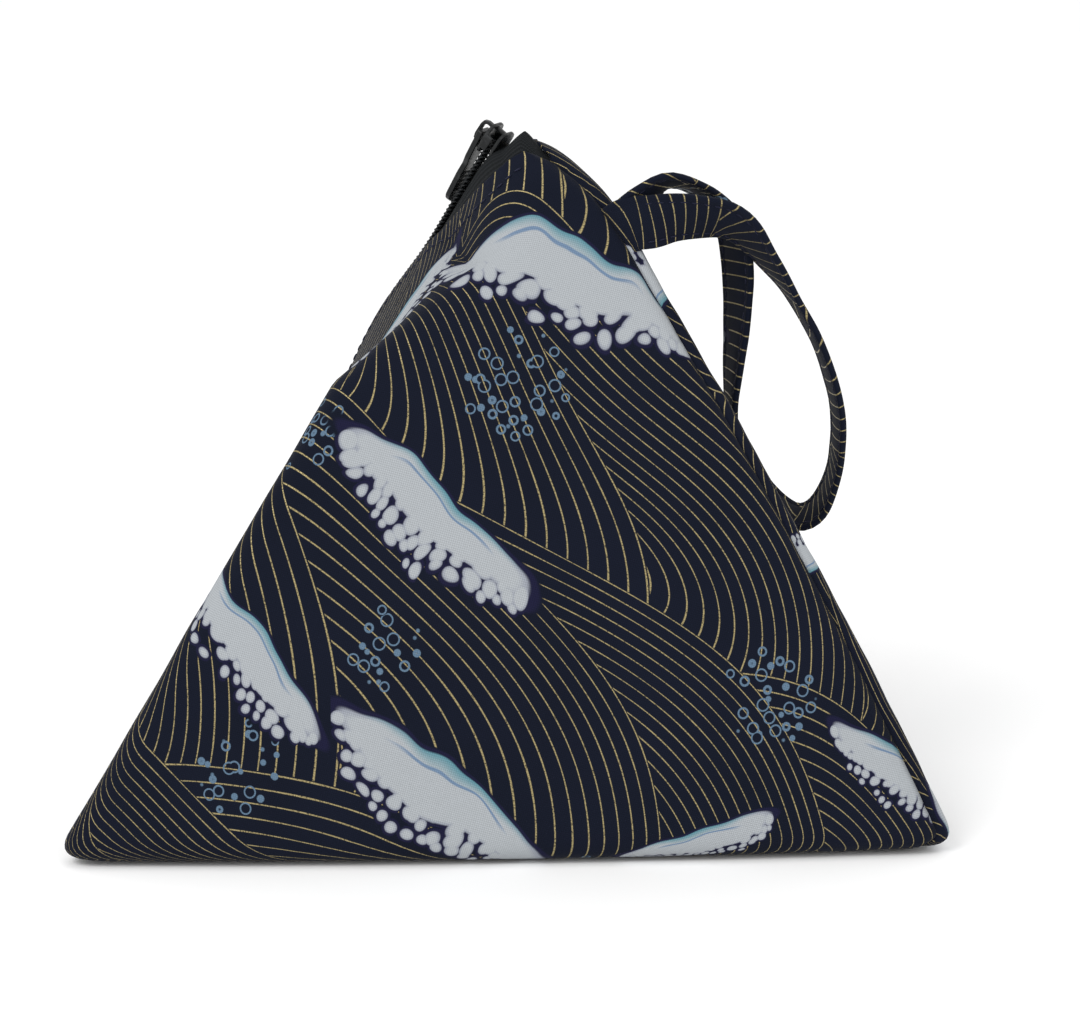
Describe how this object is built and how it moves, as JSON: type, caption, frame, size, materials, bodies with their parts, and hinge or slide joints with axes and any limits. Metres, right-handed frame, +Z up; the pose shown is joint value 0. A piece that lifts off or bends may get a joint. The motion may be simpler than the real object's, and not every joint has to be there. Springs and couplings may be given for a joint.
{
  "type": "pyramid_pouch",
  "caption": "Tetrahedral zipped pouch of navy printed quilt cotton with gold arc motifs, a black coil zipper up to the apex and a looped wrist strap",
  "frame": {"origin": "on the flat base side that the pouch stands on, midway between the two front corners and midway between the front edge and the back corner", "axes": "+X along the bottom front edge to the right as pictured, +Y away from the front side towards the back corner, +Z up from the base to the apex"},
  "size_m": [0.2311, 0.1993, 0.1828],
  "materials": {
    "printed_cotton": "matte woven quilt cotton, navy ground with metallic gold lines",
    "interlining": "matte white fleece",
    "lining_cotton": "matte plain cotton, pale grey",
    "zipper_tape": "black ribbed woven tape",
    "zipper_nylon": "black nylon, semi-matte",
    "thread": "navy sewing thread",
    "black_enamel": "black enamelled die-cast metal"
  },
  "bodies": {
    "pouch": {"outer_cloth_front": "printed_cotton", "outer_cloth_back": "printed_cotton", "padding_front": "interlining", "padding_back": "interlining", "lining_front": "lining_cotton", "lining_back": "lining_cotton", "bottom_stop": "black_enamel"},
    "front_flap": {"outer_cloth_flap_front": "printed_cotton", "padding_flap_front": "interlining", "lining_flap_front": "lining_cotton", "zipper_tape_front": "zipper_tape", "zipper_coil_front": "zipper_nylon", "topstitch_front": "thread"},
    "back_flap": {"outer_cloth_flap_back": "printed_cotton", "padding_flap_back": "interlining", "lining_flap_back": "lining_cotton", "zipper_tape_back": "zipper_tape", "zipper_coil_back": "zipper_nylon", "topstitch_back": "thread"},
    "slider": {"slider_body": "black_enamel", "slider_crown": "black_enamel"},
    "tab": {"pull_tab": "black_enamel"},
    "strap": {"wrist_strap": "printed_cotton", "strap_stitch_upper": "thread", "strap_stitch_lower": "thread"}
  },
  "joints": [
    {"name": "zipper_run", "type": "hinge", "parent": "pouch", "child": "slider", "pos_m": [0.29206, -0.19734, -0.06121], "axis": [-0.4818, -0.8761, 0.0178], "range_deg": [0, 23.1], "deforming": ["zipper_tape_front", "zipper_tape_back", "zipper_coil_front", "zipper_coil_back"]},
    {"name": "front_mouth", "type": "hinge", "parent": "pouch", "child": "front_flap", "pos_m": [-0.11463, -0.09112, 0.00185], "axis": [0.5265, 0.3024, 0.7946], "range_deg": [0, 55], "deforming": ["zipper_tape_front", "zipper_coil_front"]},
    {"name": "back_mouth", "type": "hinge", "parent": "pouch", "child": "back_flap", "pos_m": [-0.00609, -0.02877, 0.16565], "axis": [-0.0404, 0.5815, -0.8125], "range_deg": [0, 55], "deforming": ["zipper_tape_back", "zipper_coil_back"]},
    {"name": "tab_swing", "type": "hinge", "parent": "slider", "child": "tab", "pos_m": [-0.00313, -0.03012, 0.17931], "axis": [0.4818, 0.8761, -0.0178], "range_deg": [0, 160]},
    {"name": "strap_swing", "type": "hinge", "parent": "pouch", "child": "strap", "pos_m": [0.03836, -0.05353, 0.15722], "axis": [0.4632, -0.274, -0.8428], "range_deg": [0, 125]}
  ],
  "couplings": [
    {"joint": "front_mouth", "follows": "zipper_run", "ratio": 2.38},
    {"joint": "back_mouth", "follows": "zipper_run", "ratio": 2.38}
  ]
}
